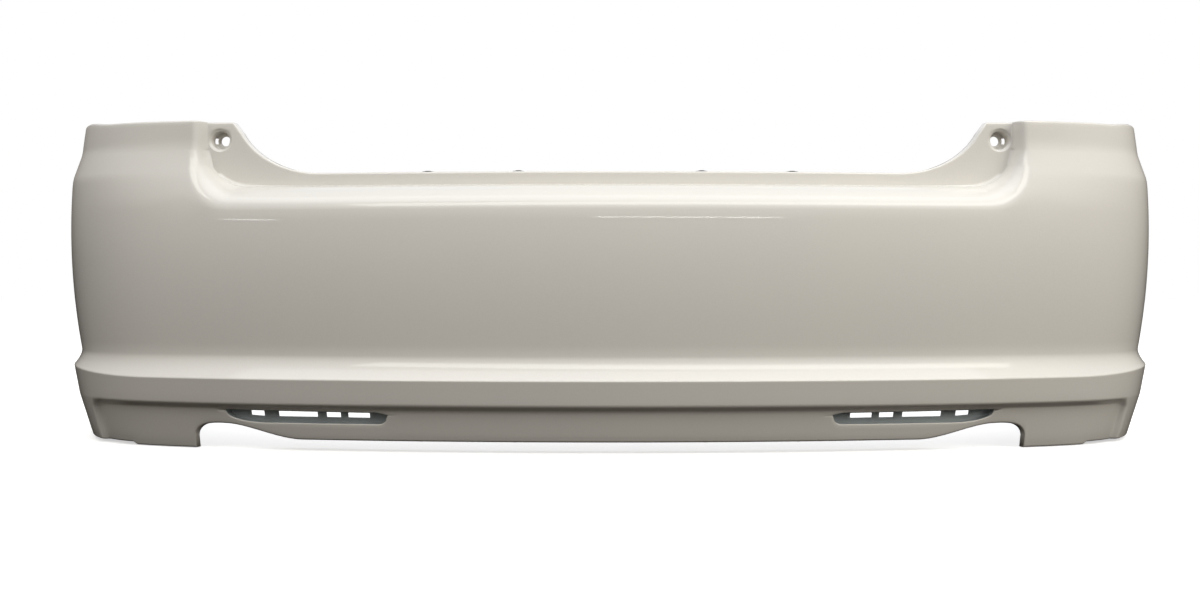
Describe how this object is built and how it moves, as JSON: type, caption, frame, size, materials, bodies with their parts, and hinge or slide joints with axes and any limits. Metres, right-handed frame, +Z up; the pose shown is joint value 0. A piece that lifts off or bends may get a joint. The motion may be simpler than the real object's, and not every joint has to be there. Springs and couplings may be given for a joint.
{
  "type": "rear bumper cover",
  "caption": "Rear bumper cover of a saloon car: painted wrap-round skin with boot recess, lamp corners, reflector slots and exhaust notches, plus its brackets and push-in retainers.",
  "frame": {"origin": "on the centreline, on the ground plane under the lower lobes, half-way between the foremost crease and the wheel-arch ends", "axes": "X across the car, the outer face looks along -Y, the wings run to +Y, +Z is up"},
  "size_m": [1.7746, 0.6178, 0.4935],
  "materials": {
    "pearl_paint": "pearl white two-coat paint under clear lacquer on moulded polypropylene",
    "grey_insert": "unpainted blue-grey moulded polypropylene",
    "black_bracket": "glass-filled black nylon, fine spark texture",
    "zinc_sheet": "zinc-coated pressed steel sheet",
    "plated_steel": "dark zinc-nickel plated spring steel",
    "rivet_aluminium": "plain drawn aluminium",
    "nylon_collar": "black moulded nylon",
    "nylon_pin": "black moulded nylon, slightly polished head"
  },
  "bodies": {
    "cover": {"bumper_skin": "pearl_paint", "reflector_tray_left": "grey_insert", "reflector_tray_right": "grey_insert", "tray_push_rings": "plated_steel", "side_rail_left": "black_bracket", "side_rail_right": "black_bracket", "side_rail_screws": "plated_steel", "corner_stiffener_left": "zinc_sheet", "corner_stiffener_right": "zinc_sheet", "cup_push_rings": "plated_steel", "sill_stiffener": "zinc_sheet", "sill_rivets": "rivet_aluminium", "valance_stiffener": "zinc_sheet", "valance_rivets": "rivet_aluminium", "arch_clip_nuts": "plated_steel", "upper_clip_collars": "nylon_collar", "lower_clip_collars": "nylon_collar"},
    "upper_pin_1": {"upper_clip_pin_1": "nylon_pin"},
    "upper_pin_2": {"upper_clip_pin_2": "nylon_pin"},
    "upper_pin_3": {"upper_clip_pin_3": "nylon_pin"},
    "upper_pin_4": {"upper_clip_pin_4": "nylon_pin"},
    "lower_pin_1": {"lower_clip_pin_1": "nylon_pin"},
    "lower_pin_2": {"lower_clip_pin_2": "nylon_pin"},
    "lower_pin_3": {"lower_clip_pin_3": "nylon_pin"},
    "lower_pin_4": {"lower_clip_pin_4": "nylon_pin"}
  },
  "joints": [
    {"name": "upper_pin_1_pull", "type": "slide", "parent": "cover", "child": "upper_pin_1", "axis": [0, 0, 1], "range_m": [0, 0.006]},
    {"name": "upper_pin_2_pull", "type": "slide", "parent": "cover", "child": "upper_pin_2", "axis": [0, 0, 1], "range_m": [0, 0.006]},
    {"name": "upper_pin_3_pull", "type": "slide", "parent": "cover", "child": "upper_pin_3", "axis": [0, 0, 1], "range_m": [0, 0.006]},
    {"name": "upper_pin_4_pull", "type": "slide", "parent": "cover", "child": "upper_pin_4", "axis": [0, 0, 1], "range_m": [0, 0.006]},
    {"name": "lower_pin_1_pull", "type": "slide", "parent": "cover", "child": "lower_pin_1", "axis": [0, 0, -1], "range_m": [0, 0.006]},
    {"name": "lower_pin_2_pull", "type": "slide", "parent": "cover", "child": "lower_pin_2", "axis": [0, 0, -1], "range_m": [0, 0.006]},
    {"name": "lower_pin_3_pull", "type": "slide", "parent": "cover", "child": "lower_pin_3", "axis": [0, 0, -1], "range_m": [0, 0.006]},
    {"name": "lower_pin_4_pull", "type": "slide", "parent": "cover", "child": "lower_pin_4", "axis": [0, 0, -1], "range_m": [0, 0.006]}
  ]
}
